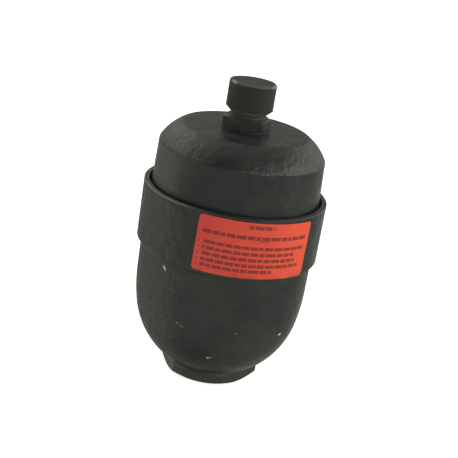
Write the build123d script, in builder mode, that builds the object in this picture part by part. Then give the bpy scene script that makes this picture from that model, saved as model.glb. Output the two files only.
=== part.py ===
from build123d import *
import math
import os

# Hydraulic diaphragm accumulator with a two-part screwed shell.
# Origin at the middle of the fluid port's face, +Z up along the axis, millimetres.

# Lower shell: bowl, collar and port hexagon
collar_radius = 55.0
collar_height = 35.25
collar_edge = 0.4
collar_foot = 3.0
collar_wall = 5.0
bowl_step = 2.8
bowl_straight = 17.4
bowl_flank = 120.0
bowl_inset = 1.1
bowl_sink = 0.4
bowl_wall = 8.2
floor_height = 22.0
port_hex = 54.0
port_hex_turn = -10.0
port_bevel = 5.0
port_bevel_height = 3.2
port_fillet = 1.6
port_thread_radius = 12.45
port_floor = 5.0
port_mouth_step = 1.45
port_mouth_depth = 2.4
passage_radius = 7.5
passage_cone = 2.5
passage_lip = 0.6

# Screwed joint between the shells
joint_clearance = 0.05
recess_depth = 5.5
recess_step = 2.2
thread_length = 12.0
nose_step = 2.0
nose_length = 8.0
nose_bevel = 0.8
bead_height = 4.7
clamp_ring_height = 2.8
groove_offset = 2.0
groove_depth = 2.4
o_ring_thickness = 2.3
backup_thickness = 1.3

# Upper shell: wall, crown and gas port
dome_step = 0.6
dome_rise = 24.7
dome_taper = 1.2
crown_rise = 12.2
crown_inset = 12.2
crown_bulge = 1.3
crown_edge = 3.0
disc_edge = 3.0
crown_thickness = 9.0
nose_wall = 5.0
ceiling_round = 14.0
gas_boss_radius = 16.0
gas_boss_drop = 6.0
gas_boss_round = 2.0

# Diaphragm and its button
membrane_gap = 1.1
membrane_thickness = 2.0
membrane_pad_radius = 15.0
membrane_pad_height = 5.1
bead_round = 0.8
button_radius = 11.0
button_thickness = 2.0
button_stem_radius = 3.0
button_head_radius = 6.0
button_head_height = 1.5
button_clearance = 0.05
button_edge = 0.5

# Gas valve body
valve_hex = 25.4
valve_hex_turn = 12.0
valve_hex_height = 6.2
valve_hex_bevel = 1.6
valve_flange_height = 1.3
valve_turned_radius = 14.4
shank_radius = 9.5
shank_length = 13.0
shank_undercut = 0.9
shank_undercut_height = 2.6
seal_seat_step = 2.1
seal_seat_depth = 2.5
stem_radius = 9.5
stem_length = 15.4
stem_relief = 0.6
stem_relief_height = 1.0
stem_bevel = 1.0

# Valve core: threaded plug, barrel, pin, spring and seals
core_mouth_radius = 3.6
core_mouth_depth = 2.2
core_plug_radius = 2.6
core_plug_height = 3.6
core_plug_sink = 0.2
core_slot_width = 1.4
core_slot_depth = 1.2
core_clearance = 0.05
barrel_radius = 1.85
barrel_wall = 0.6
barrel_length = 11.0
barrel_lip = 0.8
gasket_height = 1.8
gasket_drop = 0.3
seat_cone_height = 1.0
core_bore_radius = 2.3
pin_radius = 0.55
pin_top_gap = 0.4
pin_head_radius = 0.8
pin_head_height = 0.9
spring_seat_height = 0.5
spring_seat_drop = 2.0
spring_wire = 0.3
spring_turns = 6
cup_radius = 2.0
cup_height = 2.8
cup_wall = 0.3
core_seal_height = 0.9

# Protective cap, its liner and the sticker
cap_radius = 13.9
cap_gap = 2.0
cap_roof = 3.7
cap_foot_radius = 10.6
cap_foot_height = 3.1
cap_edge = 1.2
cap_bore_clearance = 0.07
liner_height = 1.5
liner_hole_radius = 4.0
sticker_height = 33.2
sticker_thickness = 0.2
sticker_span = 73.2
sticker_turn = 18.3
sticker_tilt = 1.0
sticker_drop = 0.4
sticker_corner = 2.0
sticker_glue = 0.05

# Heights and radii that follow from the sizes above
bowl_radius = collar_radius - bowl_step
base_radius = bowl_radius - bowl_inset
bowl_centre_z = base_radius - bowl_sink
flank_rise = math.sqrt((bowl_flank - base_radius) ** 2 - (bowl_flank - bowl_radius) ** 2)
flank_z = bowl_centre_z + flank_rise
foot_z = flank_z + bowl_straight
band_z = foot_z + collar_foot
edge_z = band_z + collar_height
collar_top = edge_z + collar_edge
bowl_inner = bowl_radius - bowl_wall
port_thread_depth = floor_height - port_floor

thread_radius = collar_radius - collar_wall
recess_radius = thread_radius + recess_step
recess_floor = collar_top - recess_depth
thread_foot = recess_floor - thread_length
nose_radius = thread_radius - nose_step
nose_foot = thread_foot - nose_length
clamp_foot = nose_foot - clamp_ring_height
ledge_z = clamp_foot - bead_height
groove_foot = nose_foot + groove_offset
groove_height = o_ring_thickness + backup_thickness + 4 * joint_clearance
upper_inner = nose_radius - nose_wall

dome_radius = thread_radius + dome_step
shoulder_radius = dome_radius - dome_taper
shoulder_z = collar_top + dome_rise
disc_z = shoulder_z + crown_rise
disc_radius = shoulder_radius - crown_inset
ceiling_z = disc_z - crown_thickness
gas_boss_z = ceiling_z - gas_boss_drop

flange_top = disc_z + valve_flange_height
valve_top = flange_top + valve_hex_height
stem_top = valve_top + stem_length
shank_foot = disc_z - shank_length
cap_foot = valve_top + cap_gap
liner_top = stem_top + liner_height
cap_top = liner_top + cap_roof


def turned(points):
    """Face in the XZ plane bounded by straight lines through (radius, height) points."""
    with BuildSketch(Plane.XZ) as section:
        with BuildLine():
            Polyline(*points, close=True)
        make_face()
    return section.sketch


def ring_section(inner, outer, foot, top):
    """Rectangular section of a ring, in the XZ plane."""
    return turned([(inner, foot), (outer, foot), (outer, top), (inner, top)])


def corner(radius, height):
    """Vertex of the section being drawn that lies at (radius, height)."""
    return vertices().sort_by_distance((radius, height))[0]


# Lower shell: forged bowl with a thick threaded collar and a hexagon round the port
hex_corner = port_hex / math.sqrt(3)
hex_height = bowl_centre_z - math.sqrt(base_radius**2 - hex_corner**2) + port_fillet
flank_angle = math.degrees(math.asin(flank_rise / (bowl_flank - base_radius)))
base_angle = math.degrees(math.asin(bowl_centre_z / base_radius))
base_edge = base_radius * math.cos(math.radians(base_angle))
bevel_foot = hex_corner - port_bevel
floor_radius = math.sqrt(bowl_inner**2 - (bowl_centre_z - floor_height) ** 2)

with BuildPart() as lower_shell:
    with BuildSketch(Plane.XY):
        RegularPolygon(hex_corner, 6, rotation=port_hex_turn)
    extrude(amount=hex_height)
    with BuildSketch(Plane.XZ):
        with BuildLine():
            Polyline(
                (0, 0),
                (bevel_foot, 0),
                (hex_corner, port_bevel_height),
                (hex_corner, hex_height),
                (0, hex_height),
                close=True,
            )
        make_face()
    revolve(axis=Axis.Z, mode=Mode.INTERSECT)
    with BuildSketch(Plane.XZ):
        with BuildLine():
            Polyline(
                (base_edge, 0),
                (0, 0),
                (0, collar_top),
                (collar_radius - collar_edge, collar_top),
                (collar_radius, edge_z),
                (collar_radius, band_z),
                (bowl_radius, foot_z),
                (bowl_radius, flank_z),
            )
            CenterArc((bowl_radius - bowl_flank, flank_z), bowl_flank, 0, -flank_angle)
            CenterArc((0, bowl_centre_z), base_radius, -flank_angle, flank_angle - base_angle)
        make_face()
    revolve(axis=Axis.Z)
    hex_root = lower_shell.edges().filter_by_position(Axis.Z, port_bevel_height, hex_height).filter_by(
        lambda edge: edge.geom_type not in (GeomType.LINE, GeomType.CIRCLE)
        or (edge.geom_type == GeomType.CIRCLE and abs(edge.radius - base_radius) > 0.01)
    )
    fillet(hex_root, port_fillet)
    with BuildSketch(Plane.XZ):
        with BuildLine():
            Polyline(
                (0, collar_top),
                (recess_radius, collar_top),
                (recess_radius, recess_floor),
                (thread_radius + joint_clearance, recess_floor),
                (thread_radius + joint_clearance, thread_foot),
                (nose_radius + joint_clearance, thread_foot),
                (nose_radius + joint_clearance, ledge_z),
                (bowl_inner, ledge_z),
                (bowl_inner, bowl_centre_z),
            )
            Line((0, collar_top), (0, floor_height))
            Line((0, floor_height), (floor_radius, floor_height))
            RadiusArc((floor_radius, floor_height), (bowl_inner, bowl_centre_z), -bowl_inner)
        make_face()
    revolve(axis=Axis.Z, mode=Mode.SUBTRACT)
    with BuildSketch(Plane.XZ):
        with BuildLine():
            Polyline(
                (0, 0),
                (port_thread_radius + port_mouth_step, 0),
                (port_thread_radius, port_mouth_depth),
                (port_thread_radius, port_thread_depth),
                (passage_radius, port_thread_depth + passage_cone),
                (passage_radius, floor_height - passage_lip),
                (passage_radius + passage_lip, floor_height),
                (0, floor_height),
                close=True,
            )
        make_face()
    revolve(axis=Axis.Z, mode=Mode.SUBTRACT)

# Upper shell: forged dome with the male thread, seal groove and gas port
with BuildPart() as upper_shell:
    with BuildSketch(Plane.XZ):
        with BuildLine():
            Polyline(
                (0, nose_foot),
                (nose_radius - nose_bevel, nose_foot),
                (nose_radius, nose_foot + nose_bevel),
                (nose_radius, thread_foot),
                (thread_radius, thread_foot),
                (thread_radius, recess_floor),
                (dome_radius, recess_floor),
                (shoulder_radius, shoulder_z),
            )
            SagittaArc((shoulder_radius, shoulder_z), (disc_radius, disc_z), -crown_bulge)
            Polyline((disc_radius, disc_z), (0, disc_z), (0, nose_foot))
        make_face()
        fillet(corner(shoulder_radius, shoulder_z), crown_edge)
        fillet(corner(disc_radius, disc_z), disc_edge)
    revolve(axis=Axis.Z)
    with BuildSketch(Plane.XZ):
        with BuildLine():
            Polyline(
                (0, nose_foot),
                (upper_inner, nose_foot),
                (upper_inner, ceiling_z),
                (gas_boss_radius, ceiling_z),
                (gas_boss_radius, gas_boss_z),
                (0, gas_boss_z),
                close=True,
            )
        make_face()
        fillet(corner(upper_inner, ceiling_z), ceiling_round)
        fillet(corner(gas_boss_radius, ceiling_z), gas_boss_round)
    revolve(axis=Axis.Z, mode=Mode.SUBTRACT)
    with BuildSketch(Plane.XZ):
        add(ring_section(nose_radius - groove_depth, nose_radius + 1, groove_foot, groove_foot + groove_height))
    revolve(axis=Axis.Z, mode=Mode.SUBTRACT)
    with BuildSketch(Plane.XZ):
        with BuildLine():
            Polyline(
                (0, gas_boss_z),
                (shank_radius + joint_clearance, gas_boss_z),
                (shank_radius + joint_clearance, disc_z - seal_seat_depth),
                (shank_radius + seal_seat_step, disc_z - seal_seat_depth),
                (shank_radius + seal_seat_step, disc_z),
                (0, disc_z),
                close=True,
            )
        make_face()
    revolve(axis=Axis.Z, mode=Mode.SUBTRACT)

# Diaphragm: moulded rubber bag lying in the bowl, with a clamped bead and a thick centre pad
membrane_outer = bowl_inner - membrane_gap
membrane_inner = membrane_outer - membrane_thickness
pad_foot = floor_height + button_clearance + membrane_gap / 4
pad_top = pad_foot + membrane_pad_height
floor_top = pad_foot + membrane_thickness
outer_flat = math.sqrt(membrane_outer**2 - (bowl_centre_z - pad_foot) ** 2)
inner_flat = math.sqrt(membrane_inner**2 - (bowl_centre_z - floor_top) ** 2)
disc_pocket = floor_height + 2 * button_clearance + button_thickness

with BuildPart() as diaphragm:
    with BuildSketch(Plane.XZ):
        with BuildLine():
            Polyline(
                (nose_radius, ledge_z),
                (nose_radius, clamp_foot),
                (membrane_inner, clamp_foot),
                (membrane_inner, bowl_centre_z),
            )
            RadiusArc((membrane_inner, bowl_centre_z), (inner_flat, floor_top), membrane_inner)
            Polyline(
                (inner_flat, floor_top),
                (membrane_pad_radius, floor_top),
                (membrane_pad_radius, pad_top),
                (button_stem_radius + button_clearance, pad_top),
                (button_stem_radius + button_clearance, disc_pocket),
                (button_radius + button_clearance, disc_pocket),
                (button_radius + button_clearance, pad_foot),
                (outer_flat, pad_foot),
            )
            RadiusArc((outer_flat, pad_foot), (membrane_outer, bowl_centre_z), -membrane_outer)
            Polyline(
                (membrane_outer, bowl_centre_z),
                (membrane_outer, ledge_z),
                (nose_radius, ledge_z),
            )
        make_face()
        fillet(corner(nose_radius, ledge_z), bead_round)
    revolve(axis=Axis.Z)

# Button moulded into the diaphragm's centre: it closes the passage when no oil is in
button_foot = floor_height + button_clearance
button_neck_top = pad_top + button_clearance
with BuildPart() as diaphragm_button:
    with BuildSketch(Plane.XZ):
        with BuildLine():
            Polyline(
                (0, button_foot),
                (button_radius - button_edge, button_foot),
                (button_radius, button_foot + button_edge),
                (button_radius, button_foot + button_thickness),
                (button_stem_radius, button_foot + button_thickness),
                (button_stem_radius, button_neck_top),
                (button_head_radius, button_neck_top),
                (button_head_radius - button_edge, button_neck_top + button_head_height),
                (0, button_neck_top + button_head_height),
                close=True,
            )
        make_face()
    revolve(axis=Axis.Z)

# Ring that clamps the bead under the upper shell's rim
with BuildPart() as clamp_ring:
    with BuildSketch(Plane.XZ):
        add(ring_section(upper_inner, nose_radius, clamp_foot, nose_foot))
        chamfer(vertices(), min(clamp_ring_height, nose_wall) / 8)
    revolve(axis=Axis.Z)

# Rubber ring and its backup ring in the upper shell's groove
groove_bottom = nose_radius - groove_depth
seal_space = groove_depth + joint_clearance
o_ring_centre = groove_bottom + seal_space / 2
with BuildPart() as shell_o_ring:
    with BuildSketch(Plane.XZ):
        with Locations((o_ring_centre, groove_foot + joint_clearance + o_ring_thickness / 2)):
            Ellipse(seal_space / 2 - joint_clearance, o_ring_thickness / 2)
    revolve(axis=Axis.Z)

backup_foot = groove_foot + 2 * joint_clearance + o_ring_thickness
with BuildPart() as shell_backup_ring:
    with BuildSketch(Plane.XZ):
        add(ring_section(groove_bottom, nose_radius, backup_foot, backup_foot + backup_thickness))
    revolve(axis=Axis.Z)

# Gas valve body: screwed shank, turned hexagon and threaded stem with the core's bore
plug_top = stem_top - core_mouth_depth - core_plug_sink
plug_foot = plug_top - core_plug_height
seat_top = plug_foot - core_clearance
seat_foot = seat_top - seat_cone_height
with BuildPart() as gas_valve_body:
    with BuildSketch(Plane.XY.offset(flange_top)):
        RegularPolygon(valve_hex / math.sqrt(3), 6, rotation=valve_hex_turn)
    extrude(amount=valve_hex_height)
    with BuildSketch(Plane.XZ):
        with BuildLine():
            Polyline(
                (0, flange_top),
                (valve_turned_radius, flange_top),
                (valve_turned_radius, valve_top - valve_hex_bevel),
                (valve_hex / 2 - valve_hex_bevel / 4, valve_top),
                (0, valve_top),
                close=True,
            )
        make_face()
    revolve(axis=Axis.Z, mode=Mode.INTERSECT)
    with BuildSketch(Plane.XZ):
        with BuildLine():
            Polyline(
                (0, shank_foot),
                (shank_radius - stem_bevel, shank_foot),
                (shank_radius, shank_foot + stem_bevel),
                (shank_radius, disc_z - shank_undercut_height),
                (shank_radius - shank_undercut, disc_z - shank_undercut_height),
                (shank_radius - shank_undercut, disc_z),
                (valve_turned_radius, disc_z),
                (valve_turned_radius, flange_top),
                (stem_radius - stem_relief, flange_top),
                (stem_radius - stem_relief, valve_top + stem_relief_height),
                (stem_radius, valve_top + stem_relief_height + stem_relief),
                (stem_radius, stem_top - stem_bevel),
                (stem_radius - stem_bevel, stem_top),
                (0, stem_top),
                close=True,
            )
        make_face()
    revolve(axis=Axis.Z)
    with BuildSketch(Plane.XZ):
        with BuildLine():
            Polyline(
                (0, shank_foot),
                (core_bore_radius, shank_foot),
                (core_bore_radius, seat_foot),
                (core_plug_radius + core_clearance, seat_top),
                (core_plug_radius + core_clearance, stem_top - core_mouth_depth),
                (core_mouth_radius, stem_top - core_mouth_depth),
                (core_mouth_radius, stem_top),
                (0, stem_top),
                close=True,
            )
        make_face()
    revolve(axis=Axis.Z, mode=Mode.SUBTRACT)

seal_inner = shank_radius - shank_undercut
seal_outer = shank_radius + seal_seat_step
with BuildPart() as gas_valve_o_ring:
    with BuildSketch(Plane.XZ):
        with Locations(((seal_inner + seal_outer) / 2, disc_z - seal_seat_depth / 2)):
            Ellipse((seal_outer - seal_inner) / 2 - joint_clearance, seal_seat_depth / 2 - joint_clearance)
    revolve(axis=Axis.Z)

# Valve core: slotted plug on top of the barrel
barrel_top = plug_foot - core_clearance
barrel_foot = barrel_top - barrel_length
barrel_bore = barrel_radius - barrel_wall
pin_hole = pin_radius + core_clearance
with BuildPart() as core_plug:
    with BuildSketch(Plane.XY.offset(plug_foot)):
        Circle(core_plug_radius)
        Circle(pin_head_radius + 2 * core_clearance, mode=Mode.SUBTRACT)
    extrude(amount=core_plug_height)
    with BuildSketch(Plane.XY.offset(plug_top)):
        Rectangle(2 * core_plug_radius + 1, core_slot_width)
    extrude(amount=-core_slot_depth, mode=Mode.SUBTRACT)

with BuildPart() as core_barrel:
    with BuildSketch(Plane.XZ):
        with BuildLine():
            Polyline(
                (pin_hole, barrel_foot),
                (barrel_radius, barrel_foot),
                (barrel_radius, barrel_top),
                (barrel_bore, barrel_top),
                (barrel_bore, barrel_foot + barrel_lip),
                (pin_hole, barrel_foot + barrel_lip),
                close=True,
            )
        make_face()
    revolve(axis=Axis.Z)

# Tapered gasket on the barrel, pressed into the body's cone
gasket_inner = barrel_radius + core_clearance / 2
gasket_top = seat_top - gasket_drop
gasket_foot = gasket_top - gasket_height
cone_slope = (core_plug_radius + core_clearance - core_bore_radius) / seat_cone_height
gasket_fit = core_bore_radius - core_clearance
with BuildPart() as core_gasket:
    with BuildSketch(Plane.XZ):
        with BuildLine():
            Polyline(
                (gasket_inner, gasket_foot),
                (gasket_fit, gasket_foot),
                (gasket_fit, seat_foot),
                (gasket_fit + cone_slope * (gasket_top - seat_foot), gasket_top),
                (gasket_inner, gasket_top),
                close=True,
            )
        make_face()
    revolve(axis=Axis.Z)

# Pin with its press head, spring seat, cup and soft seal, all moving together
pin_top = plug_top - pin_top_gap
cup_top = barrel_foot - core_clearance
cup_foot = cup_top - cup_height
with BuildPart() as core_pin:
    with BuildSketch(Plane.XY.offset(cup_foot)):
        Circle(pin_radius)
    extrude(amount=pin_top - cup_foot)
    with BuildSketch(Plane.XY.offset(pin_top - pin_head_height)):
        Circle(pin_head_radius)
    extrude(amount=pin_head_height)

seat_collar_foot = barrel_top - spring_seat_drop
with BuildPart() as core_spring_seat:
    with BuildSketch(Plane.XY.offset(seat_collar_foot)):
        Circle(barrel_bore - core_clearance)
        Circle(pin_radius, mode=Mode.SUBTRACT)
    extrude(amount=spring_seat_height)

# Cup crimped on the pin, with the seal in its top
with BuildPart() as core_cup:
    with BuildSketch(Plane.XY.offset(cup_foot)):
        Circle(cup_radius)
        Circle(pin_radius, mode=Mode.SUBTRACT)
    extrude(amount=cup_height - core_seal_height / 2)
    with BuildSketch(Plane.XY.offset(cup_top - core_seal_height)):
        Circle(cup_radius - cup_wall)
    extrude(amount=core_seal_height, mode=Mode.SUBTRACT)

with BuildPart() as core_seal:
    with BuildSketch(Plane.XY.offset(cup_top - core_seal_height)):
        Circle(cup_radius - cup_wall)
        Circle(pin_radius, mode=Mode.SUBTRACT)
    extrude(amount=core_seal_height)

# Coil spring between the barrel's lip and the seat on the pin
spring_foot = barrel_foot + barrel_lip + spring_wire / 2 + core_clearance / 2
spring_top = seat_collar_foot - spring_wire / 2 - core_clearance / 2
spring_radius = (pin_radius + barrel_bore) / 2
spring_pitch = (spring_top - spring_foot) / spring_turns
with BuildPart() as core_spring:
    with BuildLine():
        coil = Helix(spring_pitch, spring_top - spring_foot, spring_radius, center=(0, 0, spring_foot))
    with BuildSketch(Plane(origin=coil @ 0, z_dir=coil % 0)):
        Circle(spring_wire / 2)
    sweep(path=coil, is_frenet=True)

# Protective cap: plain outside, bevelled foot, bore for the stem's thread
cap_bore = stem_radius + cap_bore_clearance
with BuildPart() as protective_cap:
    with BuildSketch(Plane.XZ):
        with BuildLine():
            Polyline(
                (cap_bore, cap_foot),
                (cap_foot_radius, cap_foot),
                (cap_radius, cap_foot + cap_foot_height),
                (cap_radius, cap_top),
                (0, cap_top),
                (0, liner_top),
                (cap_bore, liner_top),
                close=True,
            )
        make_face()
        fillet(corner(cap_radius, cap_top), cap_edge)
    revolve(axis=Axis.Z)

with BuildPart() as cap_liner:
    with BuildSketch(Plane.XY.offset(stem_top)):
        Circle(stem_radius)
        Circle(liner_hole_radius, mode=Mode.SUBTRACT)
    extrude(amount=liner_height)

# Sticker bent round the collar, put on a little askew, with rounded corners
sticker_inner = collar_radius + sticker_glue
sticker_outer = sticker_inner + sticker_thickness
sticker_width = 2 * sticker_outer * math.sin(math.radians(sticker_span / 2))
facing = math.radians(sticker_turn)
across = (math.cos(facing), math.sin(facing), 0)
outwards = (math.sin(facing), -math.cos(facing), 0)
with BuildPart() as red_sticker:
    with BuildSketch(Plane((0, 0, band_z + collar_height / 2 - sticker_drop), x_dir=across, z_dir=outwards)):
        RectangleRounded(sticker_width, sticker_height, sticker_corner, rotation=-sticker_tilt)
    extrude(amount=2 * collar_radius)
    with BuildSketch(Plane.XY.offset(band_z)):
        Circle(sticker_outer)
        Circle(sticker_inner, mode=Mode.SUBTRACT)
    extrude(amount=collar_height, mode=Mode.INTERSECT)

pieces = {
    "lower_shell": lower_shell,
    "upper_shell": upper_shell,
    "clamp_ring": clamp_ring,
    "diaphragm": diaphragm,
    "diaphragm_button": diaphragm_button,
    "shell_o_ring": shell_o_ring,
    "shell_backup_ring": shell_backup_ring,
    "gas_valve_body": gas_valve_body,
    "gas_valve_o_ring": gas_valve_o_ring,
    "core_plug": core_plug,
    "core_barrel": core_barrel,
    "core_gasket": core_gasket,
    "core_pin": core_pin,
    "core_spring_seat": core_spring_seat,
    "core_cup": core_cup,
    "core_seal": core_seal,
    "core_spring": core_spring,
    "protective_cap": protective_cap,
    "cap_liner": cap_liner,
    "red_sticker": red_sticker,
}

os.makedirs("parts", exist_ok=True)
for label, piece in pieces.items():
    piece.part.label = label
    export_step(piece.part, f"parts/{label}.step")
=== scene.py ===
import math

import bmesh
import bpy
from mathutils import Matrix, Vector


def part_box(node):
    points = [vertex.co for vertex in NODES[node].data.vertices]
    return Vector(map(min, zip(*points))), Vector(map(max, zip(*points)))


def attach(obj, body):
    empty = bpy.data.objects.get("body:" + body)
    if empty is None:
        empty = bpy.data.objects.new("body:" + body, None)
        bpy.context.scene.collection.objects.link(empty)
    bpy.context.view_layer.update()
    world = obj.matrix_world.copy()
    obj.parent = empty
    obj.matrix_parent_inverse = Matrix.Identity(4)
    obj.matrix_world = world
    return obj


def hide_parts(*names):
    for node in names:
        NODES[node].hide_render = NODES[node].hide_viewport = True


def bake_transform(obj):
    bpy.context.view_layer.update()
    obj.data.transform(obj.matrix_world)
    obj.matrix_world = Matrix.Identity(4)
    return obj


# Builds the looks of a hydraulic diaphragm accumulator round its imported CAD model.
# Lengths are in metres, with the origin at the middle of the port's face and +Z up the axis.
# The printed bars, damages and rings of painted light in the lists below are in millimetres.

bl_info = {
    "name": "Diaphragm accumulator",
    "version": (1, 0, 0),
    "blender": (4, 5, 0),
    "location": "View3D > Sidebar > Accumulator",
    "description": "Dresses the accumulator's solids and adds its soft and threaded pieces",
    "category": "Object",
}

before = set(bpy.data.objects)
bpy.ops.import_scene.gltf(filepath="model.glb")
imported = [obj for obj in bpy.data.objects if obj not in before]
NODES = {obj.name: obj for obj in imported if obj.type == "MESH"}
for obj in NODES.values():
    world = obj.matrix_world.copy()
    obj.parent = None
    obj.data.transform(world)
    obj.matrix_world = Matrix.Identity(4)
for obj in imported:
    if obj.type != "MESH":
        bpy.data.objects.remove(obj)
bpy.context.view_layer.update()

MM = 0.001
STICKER_LOW, STICKER_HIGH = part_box("red_sticker")
STEM_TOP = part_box("gas_valve_body")[1].z
CAP_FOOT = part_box("protective_cap")[0].z
BAG_LOW, BAG_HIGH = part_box("diaphragm")
BUTTON_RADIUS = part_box("diaphragm_button")[1].x
SPRING_LOW, SPRING_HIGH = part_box("core_spring")

# Vertices closer than this are one, and edges sharper than this look sharp
WELD = 0.0001 * MM
SHARP = math.radians(40)

# Soft glows of the studio round the object: degrees from the camera's side towards its right,
# degrees above the horizon, how narrow each is, and its strength
GLOWS = {
    "large softbox at the right": (85, 20, 11, 2.5),
    "panel at the front right": (45, 25, 14, 1.3),
    "low panel in front": (25, 15, 13, 0.8),
    "panel behind at the right": (130, 25, 11, 1.1),
    "panel at the left": (-90, 25, 14, 1.1),
    "high panel at the left": (-100, 45, 13, 0.8),
    "panel behind at the left": (-135, 30, 11, 1.2),
    "ceiling": (-120, 85, 8, 0.5),
    "table at the left": (-90, -25, 7, 0.8),
    "table at the right": (60, -45, 6, 0.5),
    "table in front": (-20, -25, 7, 0.7),
    "table behind": (170, -30, 6, 0.5),
}
ROOM_TINT = (1.0, 1.06, 0.9, 1.0)
SOFTBOX_TINT = (1.0, 1.0, 0.92)
SOFTBOX_SIZE = 0.5
SOFTBOX_PLACE = (1.2, -0.35, 0.5)
FLOOR_REACH = 6.0
FLOOR_DROP = 0.2 * MM
SENSOR = 36.0

# Print on the sticker, as plain bars: height above its middle, thickness, start and end along it
HEAD_BARS = ((13.9, 2.2, -7.0, 6.5), (13.9, 1.6, 7.8, 8.6), (7.6, 2.2, -32.8, 32.0), (5.9, 0.5, 0.5, 6.0))
# Height and end of each row below them. A row is a long bar with a small block before it.
ROWS = ((1.5, 32.0), (-2.1, 24.5), (-5.6, 26.0), (-9.1, 29.2), (-12.4, 11.0))
PRINT_BARS = (
    *HEAD_BARS,
    *((height, 2.0, -31.0, end) for height, end in ROWS),
    *((height - 0.2, 1.1, -33.7, -32.8) for height, end in ROWS),
)
# Bars longer than LONG_BAR are broken into pieces about BAR_PIECE long. BAR_GAP is half a gap's share of that,
# and BAR_SHIFT moves the breaks from bar to bar.
LONG_BAR = 10
BAR_PIECE = 5.0
BAR_GAP = 0.06
BAR_SHIFT = 7.3

# Small damages: colour, half-length, half-width, middle and direction
BOWL_MARKS = (
    # Chip at the left, just below the collar
    ("primer", 1.9, 1.0, (-33.0, -40.5, 77.0), (1.0, -0.8, -1.6)),
    # Scratch at the left, half way down the bowl
    ("scuff", 1.3, 0.8, (-20.5, -46.8, 46.9), (4.5, -1.5, -1.7)),
    ("scuff", 2.0, 0.4, (-18.0, -47.6, 45.8), (4.5, -1.5, -1.7)),
    # Chip with a scuff across it, low in front
    ("primer", 1.3, 1.0, (0.4, -45.4, 27.3), (1, 0, 0)),
    ("scuff", 2.2, 0.6, (1.6, -45.6, 27.8), (2, 0, 1)),
    # Yellow chip at the right, and a small scuff before it
    ("old_filler", 1.3, 1.1, (39.9, -31.1, 43.2), (1, 1, 0)),
    ("scuff", 0.8, 0.6, (13.6, -49.3, 47.4), (1, 0, 0)),
    # Dark blotches on the collar
    ("grime", 2.2, 1.4, (-28.3, -47.1, 97.7), (0, 0, 1)),
    ("grime", 1.8, 1.1, (-36.7, -41.0, 98.8), (1, 0, 1)),
    ("grime", 1.6, 1.2, (-31.5, -45.1, 93.3), (1, 0, 0)),
)
# A row of pale flecks along the dome's shoulder: half-length, half-width and middle
SHOULDER_FLECKS = (
    (0.7, 0.4, (3.4, -49.1, 143.7)),
    (1.3, 0.5, (6.8, -48.7, 143.6)),
    (0.8, 0.6, (9.9, -48.1, 143.3)),
    (1.7, 0.7, (13.2, -47.4, 143.1)),
    (1.0, 0.6, (16.0, -46.5, 143.5)),
)
DOME_MARKS = [("rubbed", length, width, middle, (1, 0.1, 0.1)) for length, width, middle in SHOULDER_FLECKS]

# Rings of painted light: paler colour for glints, highlights and reflections on edges and lit sides, and fill
# light in shaded grooves and gaps. Colour, strength, from where to where in height and in radius and, if not
# whole, in X
BOWL_PAINTED_LIGHT = (
    # Painted fill light in the groove inside the collar, where shade falls
    ("fill_light_grey", 1.0, (114.8, 118.9), (49.0, 52.8)),
    # Painted glint along the collar's top edge, and painted light on the flat inside it, at the left
    ("primer", 0.8, (118.75, 119.4), (54.6, 55.5), (-53, -27)),
    ("rubbed", 0.9, (118.7, 119.4), (52.5, 54.8), (-64, -16)),
    # Painted light on the left face of the port's hexagon, and a painted reflection along its top edge, on the
    # fillet
    ("rubbed", 0.45, (0.3, 12.0), (20.0, 40.0), (-36, -15)),
    ("rubbed", 0.45, (7.2, 11.5), (27.5, 33.0)),
    # Painted light on the collar's sloping foot, which faces down into shade, and more of it at the left
    ("enamel_dust_and_fill_light", 1.0, (80.2, 83.5), (51.9, 55.5)),
    ("rubbed", 0.7, (80.6, 83.7), (51.9, 55.5), (-60, -36)),
)
DOME_PAINTED_LIGHT = (
    # Painted fill light at the dome's foot, in the groove
    ("fill_light_grey", 1.0, (114.8, 117.4), (49.0, 52.0)),
    # Painted light on the wall's left side
    ("rubbed", 0.55, (119.0, 143.0), (48.0, 52.0), (-60, -36)),
)
VALVE_PAINTED_LIGHT = (
    # Painted fill light in the shaded gap where the cap's foot stands over the hexagon
    ("fill_light_grey", 0.25, (163.0, 166.5), (6.0, 12.0)),
    # Painted highlights on two corners of the hexagon's top
    ("scuff", 0.35, (162.3, 164.0), (12.5, 16.0), (-16, -9)),
    ("scuff", 0.35, (162.3, 164.0), (12.5, 16.0), (10, 16)),
)
CAP_PAINTED_LIGHT = (
    # Painted fill light in the shade under the cap's foot
    ("scuff", 0.8, (165.0, 168.2), (9.0, 14.0)),
    # Painted highlight along the top edge, and painted glints at the left and at the right
    ("scuff", 0.45, (182.8, 184.3), (12.4, 14.2)),
    ("primer", 0.4, (182.6, 184.3), (12.6, 14.2), (-11.8, -9.4)),
    ("primer", 0.3, (182.6, 184.3), (12.6, 14.2), (11.4, 13.6)),
)


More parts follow.
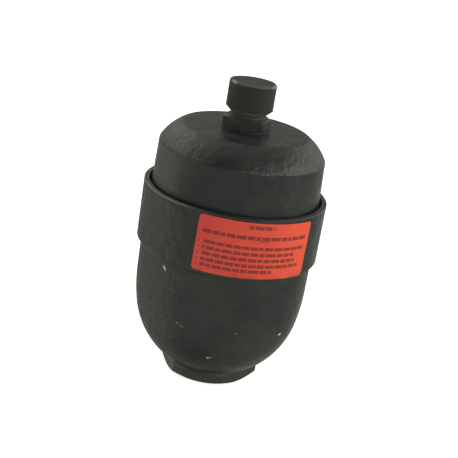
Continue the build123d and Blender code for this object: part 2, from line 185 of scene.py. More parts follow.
class StudioSettings(bpy.types.PropertyGroup):
    """Camera, lights and floor."""

    lens: bpy.props.FloatProperty(
        name="Lens", description="Focal length on a 36 mm sensor, in mm", default=77.03, min=20)
    distance: bpy.props.FloatProperty(
        name="Distance", description="From the camera to the point it looks at",
        default=0.595, unit="LENGTH")
    aim_height: bpy.props.FloatProperty(
        name="Aim height", description="Height of the point that the camera looks at",
        default=0.09224, unit="LENGTH")
    aim_side: bpy.props.FloatProperty(
        name="Aim side", description="How far that point lies to the right of the axis",
        default=-0.08 * MM, unit="LENGTH", precision=5)
    elevation: bpy.props.FloatProperty(
        name="Elevation", description="Camera's angle above the horizon",
        default=math.radians(19.84), subtype="ANGLE")
    roll: bpy.props.FloatProperty(
        name="Roll", description="How far the camera leans, which tips the object to the right",
        default=math.radians(9.46), subtype="ANGLE")
    room: bpy.props.FloatProperty(
        name="Room light", description="Strength of the even light of the room", default=0.1, min=0)
    glow: bpy.props.FloatProperty(
        name="Glow", description="Strength of the soft glows round the object", default=1.0, min=0)
    key: bpy.props.FloatProperty(
        name="Key light", description="Power of the softbox at the right, in watts", default=0.3, min=0)
    floor_glow: bpy.props.FloatProperty(
        name="Floor glow", description="Light that the pale floor gives of itself", default=0.85, min=0)
    backdrop: bpy.props.FloatProperty(
        name="Backdrop", description="Brightness of the room where the camera sees it past the floor",
        default=1.3, min=0)


class AccumulatorSizes(bpy.types.PropertyGroup):
    """Sizes of the pieces that are modelled here."""

    bag_wall: bpy.props.FloatProperty(
        name="Bag wall", description="Thickness of the diaphragm's side",
        default=2.0 * MM, unit="LENGTH", precision=5)
    bag_radius: bpy.props.FloatProperty(
        name="Bag radius", description="Outer radius of the diaphragm's side and of its round bottom",
        default=42.9 * MM, unit="LENGTH", precision=5)
    bag_middle: bpy.props.FloatProperty(
        name="Bag middle", description="Height of the middle of the bag's round bottom",
        default=50.7 * MM, unit="LENGTH", precision=5)
    bead_height: bpy.props.FloatProperty(
        name="Bead height", description="Height of the diaphragm's clamped bead",
        default=4.7 * MM, unit="LENGTH", precision=5)
    bead_round: bpy.props.FloatProperty(
        name="Bead rounding", description="Radius of the bead's lower outer edge",
        default=0.8 * MM, unit="LENGTH", precision=5)
    pad_radius: bpy.props.FloatProperty(
        name="Pad radius", description="Radius of the thick pad in the bag's floor",
        default=15.0 * MM, unit="LENGTH", precision=5)
    pad_height: bpy.props.FloatProperty(
        name="Pad height", description="Thickness of the pad", default=5.1 * MM, unit="LENGTH", precision=5)
    pad_round: bpy.props.FloatProperty(
        name="Pad rounding", description="Radius of the pad's upper edge",
        default=1.0 * MM, unit="LENGTH", precision=5)
    pad_hole: bpy.props.FloatProperty(
        name="Pad hole", description="Radius of the pad's hole for the button's neck",
        default=3.05 * MM, unit="LENGTH", precision=5)
    pocket_depth: bpy.props.FloatProperty(
        name="Pocket depth", description="Depth of the pocket for the button's disc in the pad's underside",
        default=1.775 * MM, unit="LENGTH", precision=5)
    pocket_room: bpy.props.FloatProperty(
        name="Pocket room", description="Gap between the pocket's wall and the button's disc",
        default=0.05 * MM, unit="LENGTH", precision=5)
    spring_wire: bpy.props.FloatProperty(
        name="Spring wire", description="Thickness of the valve spring's wire",
        default=0.3 * MM, unit="LENGTH", precision=5)
    spring_turns: bpy.props.IntProperty(
        name="Spring turns", description="Turns of the valve spring", default=6, min=2)
    port_pitch: bpy.props.FloatProperty(
        name="Port pitch", description="Pitch of the port's thread",
        default=25.4 * MM / 12, unit="LENGTH", precision=5)
    port_radius: bpy.props.FloatProperty(
        name="Port radius", description="Radius of the port's bore, which the thread's ridge stands in",
        default=12.45 * MM, unit="LENGTH", precision=5)
    port_ridge: bpy.props.FloatProperty(
        name="Port ridge", description="How far the thread's ridge stands out of the bore's wall",
        default=0.28 * MM, unit="LENGTH", precision=5)
    port_start: bpy.props.FloatProperty(
        name="Port thread start", description="Height at which the port's thread starts",
        default=3.4 * MM, unit="LENGTH", precision=5)
    port_turns: bpy.props.IntProperty(
        name="Port turns", description="Turns of the port's thread", default=5, min=1)
    stem_pitch: bpy.props.FloatProperty(
        name="Stem pitch", description="Pitch of the gas valve stem's thread",
        default=25.4 * MM / 16, unit="LENGTH", precision=5)
    sticker_radius: bpy.props.FloatProperty(
        name="Sticker radius", description="Radius of the sticker's face from the axis",
        default=55.25 * MM, unit="LENGTH", precision=5)
    sticker_turn: bpy.props.FloatProperty(
        name="Sticker turn", description="How far round from the front the sticker's middle is",
        default=math.radians(18.3), subtype="ANGLE")
    sticker_tilt: bpy.props.FloatProperty(
        name="Sticker tilt", description="How askew the sticker is",
        default=math.radians(1.0), subtype="ANGLE")


class AccumulatorColours(bpy.types.PropertyGroup):
    """Colours as sRGB hex values."""

    enamel: bpy.props.StringProperty(
        name="Enamel", description="Black enamel of the bowl and its collar", default="1F1F24")
    enamel_dome: bpy.props.StringProperty(
        name="Dome enamel", description="Black enamel of the dome", default="202025")
    # Dust colour, also painted on the collar's foot as fill light in its shade
    enamel_dust_and_fill_light: bpy.props.StringProperty(
        name="Dust", description="Greenish grey dust on the enamel", default="3A3C36")
    turned: bpy.props.StringProperty(
        name="Turned parts", description="Black enamel of the gas valve", default="303133")
    cap: bpy.props.StringProperty(
        name="Cap", description="Black moulded cap", default="333334")
    sticker: bpy.props.StringProperty(
        name="Sticker", description="Red film of the sticker", default="E03E3B")
    # Paler red painted towards the sticker's right end, as painted light
    sticker_lit_end: bpy.props.StringProperty(
        name="Faded sticker", description="Red film where it has faded", default="F45338")
    sticker_grime: bpy.props.StringProperty(
        name="Sticker grime", description="Grimy red at the sticker's lower edge", default="8A2C26")
    ink: bpy.props.StringProperty(
        name="Ink", description="Dark red ink of the printed bars", default="84251F")
    steel: bpy.props.StringProperty(
        name="Steel", description="Bare machined steel", default="B4B2AC")
    brass: bpy.props.StringProperty(
        name="Brass", description="Turned brass", default="C9A35A")
    rubber: bpy.props.StringProperty(
        name="Rubber", description="Nitrile rubber", default="1C1C1B")
    white_plastic: bpy.props.StringProperty(
        name="White plastic", description="Backup ring's plastic", default="E9E7E0")
    # Primer in the chips, also painted on the collar's and cap's top edges as glints
    primer: bpy.props.StringProperty(
        name="Primer", description="Pale primer that shows in a paint chip", default="B4B8AE")
    # Scuff grey, also painted on edges as highlights and under the cap's foot as fill light
    scuff: bpy.props.StringProperty(
        name="Scuff", description="Greyed enamel of a scuff", default="6E7168")
    # Paler grey, painted on lit sides, edges and fillets as painted light, and used for the pale flecks on the
    # dome's shoulder
    rubbed: bpy.props.StringProperty(
        name="Rubbed", description="Enamel rubbed grey by hands and tools", default="4A4C45")
    # Pale grey painted into shaded grooves and gaps as fill light
    fill_light_grey: bpy.props.StringProperty(
        name="Packed dust", description="Dust that fills the grooves", default="84867C")
    old_filler: bpy.props.StringProperty(
        name="Filler", description="Pale yellow filler that shows in a chip", default="D8D3A6")
    grime: bpy.props.StringProperty(
        name="Grime", description="Dark grime", default="121211")
    floor: bpy.props.StringProperty(
        name="Floor", description="Pale floor", default="F4F4F2")


def linear(hex_value):
    """sRGB hex value as a linear RGBA colour."""
    channels = [int(hex_value[i:i + 2], 16) / 255 for i in (0, 2, 4)]
    return [c / 12.92 if c <= 0.04045 else ((c + 0.055) / 1.055) ** 2.4 for c in channels] + [1.0]


def colour_of(name, factor=1.0):
    """One of the panel's colours as linear RGBA, made darker or paler by the factor."""
    red, green, blue, alpha = linear(getattr(bpy.context.scene.accumulator_colours, name))
    return [min(1.0, red * factor), min(1.0, green * factor), min(1.0, blue * factor), alpha]


def put(tree, kind, sockets=None, **settings):
    """Adds a node with its attributes; sockets gives its inputs values, or outputs that feed them."""
    made = tree.nodes.new("ShaderNode" + kind)
    for name, value in settings.items():
        setattr(made, name, value)
    for key, value in (sockets or {}).items():
        if isinstance(value, bpy.types.NodeSocket):
            tree.links.new(value, made.inputs[key])
        else:
            made.inputs[key].default_value = value
    return made


def maths(tree, operation, *values):
    """Output of one Math node."""
    return put(tree, "Math", dict(enumerate(values)), operation=operation).outputs[0]


def lumps(tree, place, size, detail=3.0, roughness=0.55):
    """Noise from 0 to 1 whose lumps are about size mm across."""
    return put(tree, "TexNoise", {"Vector": place, "Scale": 1 / (size * MM), "Detail": detail,
                                  "Roughness": roughness}).outputs["Fac"]


def ramp(tree, value, low, high, to_low=0.0, to_high=1.0):
    """Value mapped from low..high to to_low..to_high, and held at the ends."""
    return put(tree, "MapRange", {"Value": value, "From Min": low, "From Max": high,
                                  "To Min": to_low, "To Max": to_high}).outputs["Result"]


def mixed(tree, factor, a, b):
    """Colour between a and b."""
    return put(tree, "Mix", {"Factor": factor, "A": a, "B": b}, data_type="RGBA").outputs["Result"]


def bumped(tree, height, depth, strength=1.0, normal=None):
    """Normal of a surface whose height noise stands for relief of the given depth in mm."""
    sockets = {"Height": height, "Distance": depth * MM, "Strength": strength}
    if normal:
        sockets["Normal"] = normal
    return put(tree, "Bump", sockets).outputs["Normal"]


def new_material(name):
    """Node material with a Principled shader: the material, its tree, its shader and object coordinates."""
    material = bpy.data.materials.new(name)
    material.use_nodes = True
    tree = material.node_tree
    tree.nodes.clear()
    shader = put(tree, "BsdfPrincipled")
    put(tree, "OutputMaterial", {"Surface": shader.outputs["BSDF"]})
    place = put(tree, "TexCoord").outputs["Object"]
    return material, tree, shader, place


def give(material, *names):
    """Puts the material on CAD nodes."""
    for name in names:
        mesh = NODES[name].data
        mesh.materials.clear()
        mesh.materials.append(material)


def away_from_axis(tree, place):
    """Distance of a point from the object's axis."""
    flat = put(tree, "VectorMath", {0: place, 1: (1.0, 1.0, 0.0)}, operation="MULTIPLY").outputs["Vector"]
    return put(tree, "VectorMath", {0: flat}, operation="LENGTH").outputs["Value"]


def within(tree, value, low, high, soft):
    """1 where the value is from low to high, all in mm, and less over a soft edge."""
    rise = ramp(tree, value, (low - soft) * MM, (low + soft) * MM)
    return maths(tree, "MULTIPLY", rise, ramp(tree, value, (high - soft) * MM, (high + soft) * MM, 1.0, 0.0))


def spot(tree, place, grain, mark):
    """1 inside a mark with a ragged edge, which is half-length, half-width, middle and direction in mm."""
    length, width, middle, along = mark
    turn = Vector(along).to_track_quat("X", "Z").to_euler()
    local = put(tree, "Mapping", {"Vector": place, "Location": [c * MM for c in middle], "Rotation": turn,
                                  "Scale": (length * MM, width * MM, width * MM)}, vector_type="TEXTURE")
    away = put(tree, "VectorMath", {0: local.outputs["Vector"]}, operation="LENGTH").outputs["Value"]
    # The grain moves the edge in and out: it is about 0.5, so the mark's mean reach is near 1
    raggedness, reach = 1.8, 1.7
    ragged = maths(tree, "MULTIPLY_ADD", grain, raggedness, away)
    return maths(tree, "LESS_THAN", ragged, reach)


def painted_light_mask(tree, apart, radius, heights, radii, sideways=None):
    """1 from one height and radius to another and, if it isn't whole, from one X to another, all in mm."""
    edge = 0.25
    ring = maths(tree, "MULTIPLY", within(tree, apart.outputs["Z"], *heights, edge),
                 within(tree, radius, *radii, edge))
    if sideways:
        low, high = sideways
        part = within(tree, apart.outputs["X"], low, high, (high - low) / 5)
        ring = maths(tree, "MULTIPLY", ring, part)
    return ring


def coarseness(tree, apart, skin, rough_band):
    """How coarse the steel under the paint is from left to right and, if there is one, in a rough band."""
    left, middle, right = skin
    # Where it changes, in X: between the left and the middle, and between the middle and the right
    from_left, to_right = (-42 * MM, -14 * MM), (12 * MM, 38 * MM)
    coarse = maths(tree, "ADD", ramp(tree, apart.outputs["X"], *from_left, left, middle),
                   ramp(tree, apart.outputs["X"], *to_right, 0.0, right - middle))
    if rough_band:
        # Outside the band 0.3 of the coarseness is left
        inside = within(tree, apart.outputs["Z"], *rough_band, 3.0)
        coarse = maths(tree, "MULTIPLY", coarse, maths(tree, "MULTIPLY_ADD", inside, 0.7, 0.3))
    return coarse


def enamel_material(name, paint, roughness, skin, marks=(), painted_light_rings=(), gloss=0.5, rough_band=None):
    """Satin enamel over steel, with the relief of what lies under it, dust, small damages and rings of painted
    light.

    Skin is how coarse the steel is at the left, in the middle and at the right. If a rough band of heights is
    given, the steel above and below it is finer.
    """
    material, tree, shader, place = new_material(name)
    apart = put(tree, "SeparateXYZ", {"Vector": place})
    radius = away_from_axis(tree, place)
    # Dents and ridges that the forging dies left, about 6 mm across: they break up the highlights
    waves = lumps(tree, place, 6.0, 3.0, 0.5)
    # Scale pits under the paint, about 3 mm across: they mottle the highlights
    pits = lumps(tree, place, 2.8, 2.0, 0.6)
    # Orange peel of the sprayed enamel, under a millimetre: it takes the mirror out of the gloss
    peel = lumps(tree, place, 0.7, 2.0, 0.5)
    # Clouds of thin dust, about 20 mm across: the black looks uneven and a little green
    dust = ramp(tree, lumps(tree, place, 20.0, 5.0, 0.62), 0.46, 0.74, 0.0, 0.45)
    colour = mixed(tree, dust, colour_of(paint), colour_of("enamel_dust_and_fill_light"))
    # Rings of painted light: paler colour painted on for glints, highlights and fill light in shade
    for tint, strength, *reach in painted_light_rings:
        ring = painted_light_mask(tree, apart, radius, *reach)
        colour = mixed(tree, maths(tree, "MULTIPLY", ring, strength), colour, colour_of(tint))
    for tint, *mark in marks:
        # A chip, scuff or blotch: its ragged edge follows the peel
        colour = mixed(tree, spot(tree, place, peel, mark), colour, colour_of(tint))
    tree.links.new(colour, shader.inputs["Base Color"])
    # Dented and dusty places are duller
    dull = ramp(tree, maths(tree, "ADD", waves, dust), 0.3, 1.0, roughness - 0.06, roughness + 0.14)
    tree.links.new(dull, shader.inputs["Roughness"])
    shader.inputs["IOR"].default_value = 1.5
    shader.inputs["Specular IOR Level"].default_value = gloss
    # The relief is drawn deeper than it is, so that it shows at the photo's size
    coarse = coarseness(tree, apart, skin, rough_band)
    relief = bumped(tree, waves, 2.2, coarse)
    relief = bumped(tree, pits, 0.85, coarse, relief)
    relief = bumped(tree, peel, 0.03, 0.5, relief)
    tree.links.new(relief, shader.inputs["Normal"])
    return material, tree, shader, place


def turned_material(name, tint, metallic, roughness, spacing=0.35):
    """Metal or plastic turned on a lathe: fine rings round the axis that catch the light."""
    material, tree, shader, place = new_material(name)
    # Rings of the turning tool, by the distance from the axis plus the height
    height = put(tree, "SeparateXYZ", {"Vector": place}).outputs["Z"]
    along = maths(tree, "ADD", away_from_axis(tree, place), height)
    rings = put(tree, "TexNoise", {"W": along, "Scale": 1 / (spacing * MM), "Detail": 3.0},
                noise_dimensions="1D").outputs["Fac"]
    # Handling stains, about 5 mm across
    stain = lumps(tree, place, 5.0)
    tree.links.new(mixed(tree, stain, colour_of(tint, 0.72), colour_of(tint)), shader.inputs["Base Color"])
    shader.inputs["Metallic"].default_value = metallic
    tree.links.new(ramp(tree, rings, 0.3, 0.7, roughness - 0.07, roughness + 0.1), shader.inputs["Roughness"])
    tree.links.new(bumped(tree, rings, 0.03, 0.3), shader.inputs["Normal"])
    return material


def rubber_material(name, tint):
    """Moulded nitrile rubber: dull, with a faint bloom and the mould's fine grain."""
    material, tree, shader, place = new_material(name)
    # Bloom, about 12 mm across: paler, drier patches
    bloom = lumps(tree, place, 12.0, 4.0)
    # The mould's grain, under half a millimetre
    grain = lumps(tree, place, 0.4, 2.0)
    tree.links.new(mixed(tree, bloom, colour_of(tint), colour_of(tint, 2.2)), shader.inputs["Base Color"])
    shader.inputs["Roughness"].default_value = 0.62
    shader.inputs["IOR"].default_value = 1.52
    tree.links.new(bumped(tree, grain, 0.04, 0.3), shader.inputs["Normal"])
    return material


def place_on_sticker(tree, place, sizes):
    """A point's place on the sticker in mm: along it and up it, measured from its middle."""
    apart = put(tree, "SeparateXYZ", {"Vector": place})
    turn = maths(tree, "ARCTAN2", apart.outputs["X"], maths(tree, "MULTIPLY", apart.outputs["Y"], -1.0))
    round_it = maths(tree, "MULTIPLY", maths(tree, "SUBTRACT", turn, sizes.sticker_turn),
                     sizes.sticker_radius / MM)
    middle = (STICKER_LOW.z + STICKER_HIGH.z) / 2
    up_it = maths(tree, "DIVIDE", maths(tree, "SUBTRACT", apart.outputs["Z"], middle), MM)
    flat = put(tree, "CombineXYZ", {"X": round_it, "Y": up_it})
    level = put(tree, "VectorRotate", {"Vector": flat.outputs["Vector"], "Angle": sizes.sticker_tilt},
                rotation_type="Z_AXIS")
    across = put(tree, "SeparateXYZ", {"Vector": level.outputs["Vector"]})
    return across.outputs["X"], across.outputs["Y"]


def printed_bars(tree, along, up):
    """1 on the sticker's bars, 0 beside them."""
    printed = None
    for height, thick, start, end in PRINT_BARS:
        bar = maths(tree, "MULTIPLY", maths(tree, "COMPARE", up, height, thick / 2),
                    maths(tree, "COMPARE", along, (start + end) / 2, (end - start) / 2))
        if end - start > LONG_BAR:
            run = maths(tree, "MULTIPLY_ADD", along, 1 / BAR_PIECE, height * BAR_SHIFT)
            edge = put(tree, "TexVoronoi", {"W": run, "Scale": 1.0}, voronoi_dimensions="1D",
                       feature="DISTANCE_TO_EDGE").outputs["Distance"]
            bar = maths(tree, "MULTIPLY", bar, maths(tree, "GREATER_THAN", edge, BAR_GAP))
        printed = maths(tree, "MAXIMUM", printed, bar) if printed else bar
    return printed


def finish_piece(bm, name, material, body=None):
    """Turns a bmesh into a smooth piece, which rides on a body if one is named."""
    bmesh.ops.remove_doubles(bm, verts=bm.verts, dist=WELD)
    bmesh.ops.recalc_face_normals(bm, faces=bm.faces)
    mesh = bpy.data.meshes.new(name)
    bm.to_mesh(mesh)
    bm.free()
    mesh.materials.append(material)
    mesh.shade_smooth()
    mesh.set_sharp_from_angle(angle=SHARP)
    piece = bpy.data.objects.new(name, mesh)
    bpy.context.scene.collection.objects.link(piece)
    if body:
        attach(piece, body)
    return piece


def spun(points, steps, longest):
    """Closed profile of (radius, height) points turned about the axis, with no edge over longest."""
    bm = bmesh.new()
    ring = [bm.verts.new((r, 0, z)) for r, z in points]
    for a, b in zip(ring, ring[1:] + ring[:1]):
        bm.edges.new((a, b))
    while too_long := [edge for edge in bm.edges if edge.calc_length() > longest]:
        bmesh.ops.subdivide_edges(bm, edges=too_long, cuts=1)
    bmesh.ops.spin(bm, geom=bm.verts[:] + bm.edges[:], cent=(0, 0, 0), axis=(0, 0, 1), dvec=(0, 0, 0),
                   angle=math.tau, steps=steps, use_merge=True)
    return bm


def coiled(profile, pitch, turns, steps):
    """Closed profile of (radius, height) points wound up a right-hand helix, in so many steps a turn."""
    bm = bmesh.new()
    start = bm.faces.new([bm.verts.new((r, 0, z)) for r, z in profile])
    bmesh.ops.spin(bm, geom=[start, *start.edges, *start.verts], cent=(0, 0, 0), axis=(0, 0, 1),
                   dvec=(0, 0, pitch / steps), angle=math.tau * turns, steps=round(turns * steps),
                   use_merge=False)
    return bm


def arc(middle, radius, start, end, count):
    """Points (radius, height) on an arc between two angles in degrees."""
    turns = [math.radians(start + (end - start) * i / count) for i in range(count + 1)]
    return [(middle[0] + radius * math.cos(t), middle[1] + radius * math.sin(t)) for t in turns]


class ACCUMULATOR_OT_shells(bpy.types.Operator):
    """Paints the forged bowl with its collar, and the dome."""

    bl_idname = "accumulator.shells"
    bl_label = "Shells"

    def execute(self, context):
        bowl, tree, shader, place = enamel_material(
            "satin_enamel_on_forged_bowl", "enamel", 0.34, (0.8, 0.25, 0.3), BOWL_MARKS, BOWL_PAINTED_LIGHT)
        dome = enamel_material(
            "satin_enamel_on_forged_dome", "enamel_dome", 0.32, (0.75, 0.3, 0.6), DOME_MARKS, DOME_PAINTED_LIGHT,
            gloss=0.43, rough_band=(143.0, 154.0))[0]
        # The port was masked from the paint: bare cut steel up to this radius and this height
        bare_radius, bare_top = 14.2 * MM, 25 * MM
        height = put(tree, "SeparateXYZ", {"Vector": place}).outputs["Z"]
        bare = maths(tree, "MULTIPLY", maths(tree, "LESS_THAN", away_from_axis(tree, place), bare_radius),
                     maths(tree, "LESS_THAN", height, bare_top))
        painted = shader.inputs["Base Color"].links[0].from_socket
        tree.links.new(mixed(tree, bare, painted, colour_of("steel")), shader.inputs["Base Color"])
        tree.links.new(bare, shader.inputs["Metallic"])
        give(bowl, "lower_shell")
        give(dome, "upper_shell")
        return {"FINISHED"}


class ACCUMULATOR_OT_gas_valve(bpy.types.Operator):
    """Finishes the gas valve's body, with the thread of its stem, and the cap."""

    bl_idname = "accumulator.gas_valve"
    bl_label = "Gas valve and cap"

    def execute(self, context):
        pitch = context.scene.accumulator_sizes.stem_pitch
        body, tree, shader, place = enamel_material(
            "black_enamel_on_turned_steel", "turned", 0.36, (0.05, 0.05, 0.05), painted_light_rings=VALVE_PAINTED_LIGHT, gloss=0.2)
        # The stem's thread: a triangular ridge that climbs one pitch a turn, on the stem alone
        apart = put(tree, "SeparateXYZ", {"Vector": place})
        turn = maths(tree, "DIVIDE", maths(tree, "ARCTAN2", apart.outputs["Y"], apart.outputs["X"]), math.tau)
        climb = maths(tree, "SUBTRACT", maths(tree, "DIVIDE", apart.outputs["Z"], pitch), turn)
        ridge = maths(tree, "PINGPONG", climb, 0.5)
        plain_end = 0.6 * MM
        on_stem = maths(tree, "COMPARE", apart.outputs["Z"], (CAP_FOOT + STEM_TOP) / 2,
                        (STEM_TOP - CAP_FOOT) / 2 - plain_end)
        painted = shader.inputs["Normal"].links[0].from_socket
        # The ridge's value ends at 0.5, so the thread is half as deep as this relief
        thread = bumped(tree, maths(tree, "MULTIPLY", ridge, on_stem), 1.6, 1.0, painted)
        tree.links.new(thread, shader.inputs["Normal"])
        cap = enamel_material(
            "satin_moulded_cap", "cap", 0.38, (0.04, 0.04, 0.04), painted_light_rings=CAP_PAINTED_LIGHT, gloss=0.13)[0]
        give(body, "gas_valve_body")
        give(cap, "protective_cap")
        return {"FINISHED"}


class ACCUMULATOR_OT_sticker(bpy.types.Operator):
    """Finishes the red sticker, whose print is plain bars."""

    bl_idname = "accumulator.sticker"
    bl_label = "Sticker"

    def execute(self, context):
        material, tree, shader, place = new_material("gloss_laminated_red_vinyl")
        along, up = place_on_sticker(tree, place, context.scene.accumulator_sizes)
        printed = printed_bars(tree, along, up)
        # Uneven ink, half a millimetre across: the bars look printed, not cut
        ink = lumps(tree, place, 0.5, 1.0)
        cover = maths(tree, "MULTIPLY", printed, ramp(tree, ink, 0.3, 0.6, 0.7, 1.0))
        # Painted light: the film is paler towards its right end, where the light falls, and uneven in clouds
        # about 15 mm across
        paler_to_right = maths(tree, "ADD", ramp(tree, along, -34.0, 34.0, -0.15, 0.85), lumps(tree, place, 15.0))
        film = mixed(tree, ramp(tree, paler_to_right, 0.3, 1.3), colour_of("sticker"), colour_of("sticker_lit_end"))
        # Grime has crept in along its lower edge, in smears about 4 mm across
        creep = maths(tree, "MULTIPLY", ramp(tree, up, -16.8, -13.0, 1.0, 0.0),
                      ramp(tree, lumps(tree, place, 4.0), 0.4, 0.65))
        film = mixed(tree, maths(tree, "MULTIPLY", creep, 0.55), film, colour_of("sticker_grime"))
        tree.links.new(mixed(tree, cover, film, colour_of("ink")), shader.inputs["Base Color"])
        shader.inputs["Roughness"].default_value = 0.4
        shader.inputs["IOR"].default_value = 1.5
        # Film laid over a rough collar: waves about 7 mm across
        tree.links.new(bumped(tree, lumps(tree, place, 7.0, 2.0), 0.15, 0.5), shader.inputs["Normal"])
        give(material, "red_sticker")
        return {"FINISHED"}


class ACCUMULATOR_OT_inner_pieces(bpy.types.Operator):
    """Finishes the seals, the rings and the valve core."""

    bl_idname = "accumulator.inner_pieces"
    bl_label = "Inner pieces"

    def execute(self, context):
        steel = turned_material("bare_turned_steel", "steel", 1.0, 0.32)
        brass = turned_material("turned_brass", "brass", 1.0, 0.28, 0.2)
        plastic = turned_material("turned_white_plastic", "white_plastic", 0.0, 0.45)
        rubber = rubber_material("moulded_nitrile_rubber", "rubber")
        give(steel, "clamp_ring", "diaphragm_button")
        give(brass, "core_plug", "core_barrel", "core_pin", "core_spring_seat", "core_cup")
        give(plastic, "shell_backup_ring")
        give(rubber, "shell_o_ring", "gas_valve_o_ring", "core_seal", "core_gasket", "cap_liner")
        return {"FINISHED"}


class ACCUMULATOR_OT_bag(bpy.types.Operator):
    """Models the rubber diaphragm: a bag with a clamped bead and a thick pad round its button."""

    bl_idname = "accumulator.bag"
    bl_label = "Diaphragm"

    def execute(self, context):
        sizes = context.scene.accumulator_sizes
        outer, inner = sizes.bag_radius, sizes.bag_radius - sizes.bag_wall
        foot, top, rim = BAG_LOW.z, BAG_HIGH.z, BAG_HIGH.x
        floor_top = foot + sizes.bag_wall
        ledge = top - sizes.bead_height
        middle = (0.0, sizes.bag_middle)
        pad_top = foot + sizes.pad_height
        pocket, pocket_top = BUTTON_RADIUS + sizes.pocket_room, foot + sizes.pocket_depth
        pad_corner = (sizes.pad_radius - sizes.pad_round, pad_top - sizes.pad_round)
        bead_corner = (rim - sizes.bead_round, ledge + sizes.bead_round)
        outer_dip = math.degrees(math.asin((middle[1] - foot) / outer))
        inner_dip = math.degrees(math.asin((middle[1] - floor_top) / inner))
        section = [
            (rim, top), (inner, top), *arc(middle, inner, 0, -inner_dip, 14),
            (sizes.pad_radius, floor_top), *arc(pad_corner, sizes.pad_round, 0, 90, 4),
            (sizes.pad_hole, pad_top), (sizes.pad_hole, pocket_top), (pocket, pocket_top),
            (pocket, foot), *arc(middle, outer, -outer_dip, 0, 14),
            (outer, ledge), *arc(bead_corner, sizes.bead_round, -90, 0, 4),
        ]
        rubber = bpy.data.materials["moulded_nitrile_rubber"]
        bm = spun(section, steps=96, longest=3 * MM)
        bag = finish_piece(bm, "diaphragm_bag", rubber)
        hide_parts("diaphragm")
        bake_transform(bag)
        return {"FINISHED"}


class ACCUMULATOR_OT_valve_spring(bpy.types.Operator):
    """Winds the fine spring that shuts the gas valve's core."""

    bl_idname = "accumulator.valve_spring"
    bl_label = "Valve spring"

    def execute(self, context):
        sizes = context.scene.accumulator_sizes
        wire = sizes.spring_wire / 2
        radius = SPRING_HIGH.x - wire
        low, high = SPRING_LOW.z + wire, SPRING_HIGH.z - wire
        section = arc((radius, low), wire, 0, 330, 11)
        steel = bpy.data.materials["bare_turned_steel"]
        bm = coiled(section, (high - low) / sizes.spring_turns, sizes.spring_turns, steps=40)
        spring = finish_piece(bm, "valve_spring_coil", steel)
        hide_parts("core_spring")
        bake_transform(spring)
        return {"FINISHED"}


class ACCUMULATOR_OT_port_thread(bpy.types.Operator):
    """Cuts the look of the fluid port's thread: the ridge that stands in its bore."""

    bl_idname = "accumulator.port_thread"
    bl_label = "Port thread"

    def execute(self, context):
        sizes = context.scene.accumulator_sizes
        pitch, foot = sizes.port_pitch, sizes.port_start
        # The ridge's base is sunk a little into the wall, so that it grows out of it. The base is 0.86 of the
        # pitch wide and the flat crest 0.14, with equal flanks.
        base, crest = sizes.port_radius + 0.05 * MM, sizes.port_radius - sizes.port_ridge
        section = [(base, foot), (crest, foot + 0.36 * pitch), (crest, foot + 0.5 * pitch),
                   (base, foot + 0.86 * pitch)]
        bm = coiled(section, pitch, sizes.port_turns, steps=72)
        steel = bpy.data.materials["bare_turned_steel"]
        finish_piece(bm, "port_thread_ridge", steel, "vessel")
        return {"FINISHED"}


def pale_floor(scene, studio):
    """Plain pale floor just under the object."""
    bm = bmesh.new()
    bmesh.ops.create_grid(bm, x_segments=1, y_segments=1, size=FLOOR_REACH,
                          matrix=Matrix.Translation((0, 0, -FLOOR_DROP)))
    mesh = bpy.data.meshes.new("pale_floor")
    bm.to_mesh(mesh)
    bm.free()
    floor = bpy.data.objects.new("pale_floor", mesh)
    scene.collection.objects.link(floor)
    material, tree, shader, place = new_material("matt_pale_floor")
    # Barely uneven paint, so that the floor isn't one flat tone
    tone = mixed(tree, lumps(tree, place, 300.0, 2.0), colour_of("floor"), colour_of("floor", 0.98))
    tree.links.new(tone, shader.inputs["Base Color"])
    shader.inputs["Roughness"].default_value = 0.9
    shader.inputs["Specular IOR Level"].default_value = 0.0
    shader.inputs["Emission Color"].default_value = colour_of("floor")
    shader.inputs["Emission Strength"].default_value = studio.floor_glow
    mesh.materials.append(material)
    # The floor is seen, but the object isn't lit by it: the room's glows stand for that light
    floor.visible_diffuse = False
    floor.visible_glossy = False


def glowing_room(scene, studio):
    """Even light with soft round glows, and a pale backdrop where the camera sees past the floor."""
    world = bpy.data.worlds.new("studio_room")
    world.use_nodes = True
    tree = world.node_tree
    tree.nodes.clear()
    direction = put(tree, "TexCoord").outputs["Generated"]
    light = studio.room
    for turn, rise, narrow, strength in GLOWS.values():
        # A glow fades as exp(narrow * (cosine of the angle from its middle - 1))
        turn, rise = math.radians(turn), math.radians(rise)
        aim = (math.cos(rise) * math.sin(turn), -math.cos(rise) * math.cos(turn), math.sin(rise))
        cosine = put(tree, "VectorMath", {0: direction, 1: aim}, operation="DOT_PRODUCT").outputs["Value"]
        fade = maths(tree, "EXPONENT", maths(tree, "MULTIPLY_ADD", cosine, narrow, -narrow))
        light = maths(tree, "MULTIPLY_ADD", fade, strength * studio.glow, light)
    lit = put(tree, "Background", {"Color": ROOM_TINT, "Strength": light})
    seen = put(tree, "Background", {"Color": colour_of("floor"), "Strength": studio.backdrop})
    camera_ray = put(tree, "LightPath").outputs["Is Camera Ray"]
    room = put(tree, "MixShader", {0: camera_ray, 1: lit.outputs["Background"],
                                   2: seen.outputs["Background"]})
    put(tree, "OutputWorld", {"Surface": room.outputs["Shader"]})
    scene.world = world


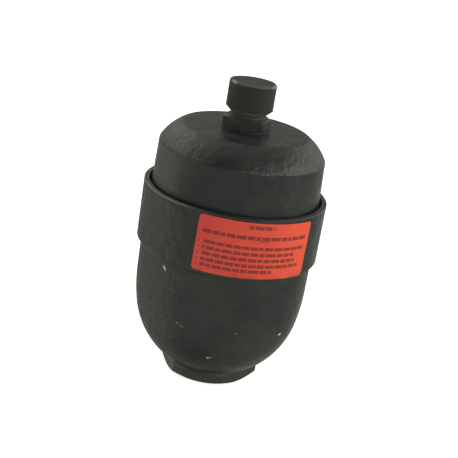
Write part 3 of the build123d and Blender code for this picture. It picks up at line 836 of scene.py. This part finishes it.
def key_softbox(scene, studio):
    """Small softbox at the right, aimed at the object."""
    lamp = bpy.data.lights.new("key_softbox", "AREA")
    lamp.shape = "SQUARE"
    lamp.size = SOFTBOX_SIZE
    lamp.energy = studio.key
    lamp.color = SOFTBOX_TINT
    softbox = bpy.data.objects.new("key_softbox", lamp)
    softbox.location = SOFTBOX_PLACE
    aim = Vector((0, 0, studio.aim_height)) - softbox.location
    softbox.rotation_euler = aim.to_track_quat("-Z", "Y").to_euler()
    scene.collection.objects.link(softbox)


def photo_camera(scene, studio):
    """Camera at the photo's angle, which leans, so that the upright object looks tipped."""
    lens = bpy.data.cameras.new("photo_camera")
    lens.lens = studio.lens
    lens.sensor_width = SENSOR
    camera = bpy.data.objects.new("photo_camera", lens)
    back = Vector((0, -math.cos(studio.elevation), math.sin(studio.elevation)))
    target = Vector((studio.aim_side, 0, studio.aim_height))
    upright = back.to_track_quat("Z", "Y").to_matrix().to_4x4()
    lean = Matrix.Rotation(studio.roll, 4, "Z")
    camera.matrix_world = Matrix.Translation(target + back * studio.distance) @ upright @ lean
    scene.collection.objects.link(camera)
    scene.camera = camera


class ACCUMULATOR_OT_stage(bpy.types.Operator):
    """Makes the pale floor, the lights and the camera."""

    bl_idname = "accumulator.stage"
    bl_label = "Stage"

    def execute(self, context):
        scene = context.scene
        studio = scene.accumulator_studio
        scene.view_settings.view_transform = "Standard"
        for part in (pale_floor, glowing_room, key_softbox, photo_camera):
            part(scene, studio)
        return {"FINISHED"}


class ACCUMULATOR_PT_panel(bpy.types.Panel):
    """Sizes, colours and steps of the accumulator."""

    bl_label = "Accumulator"
    bl_idname = "ACCUMULATOR_PT_panel"
    bl_space_type = "VIEW_3D"
    bl_region_type = "UI"
    bl_category = "Accumulator"

    def draw(self, context):
        layout = self.layout
        for step in STEPS:
            layout.operator(step.bl_idname)
        for group in (context.scene.accumulator_sizes, context.scene.accumulator_colours,
                      context.scene.accumulator_studio):
            box = layout.box()
            for name in group.bl_rna.properties.keys():
                if name not in ("rna_type", "name"):
                    box.prop(group, name)


STEPS = (
    ACCUMULATOR_OT_stage,
    ACCUMULATOR_OT_shells,
    ACCUMULATOR_OT_gas_valve,
    ACCUMULATOR_OT_sticker,
    ACCUMULATOR_OT_inner_pieces,
    ACCUMULATOR_OT_bag,
    ACCUMULATOR_OT_valve_spring,
    ACCUMULATOR_OT_port_thread,
)
GROUPS = {
    "accumulator_studio": StudioSettings,
    "accumulator_sizes": AccumulatorSizes,
    "accumulator_colours": AccumulatorColours,
}
CLASSES = (*GROUPS.values(), *STEPS, ACCUMULATOR_PT_panel)


def register():
    for item in CLASSES:
        bpy.utils.register_class(item)
    for name, group in GROUPS.items():
        setattr(bpy.types.Scene, name, bpy.props.PointerProperty(type=group))


def unregister():
    for name in GROUPS:
        delattr(bpy.types.Scene, name)
    for item in reversed(CLASSES):
        bpy.utils.unregister_class(item)


def main():
    register()
    for step in STEPS:
        group, name = step.bl_idname.split(".")
        getattr(getattr(bpy.ops, group), name)()


if __name__ == "__main__":
    main()
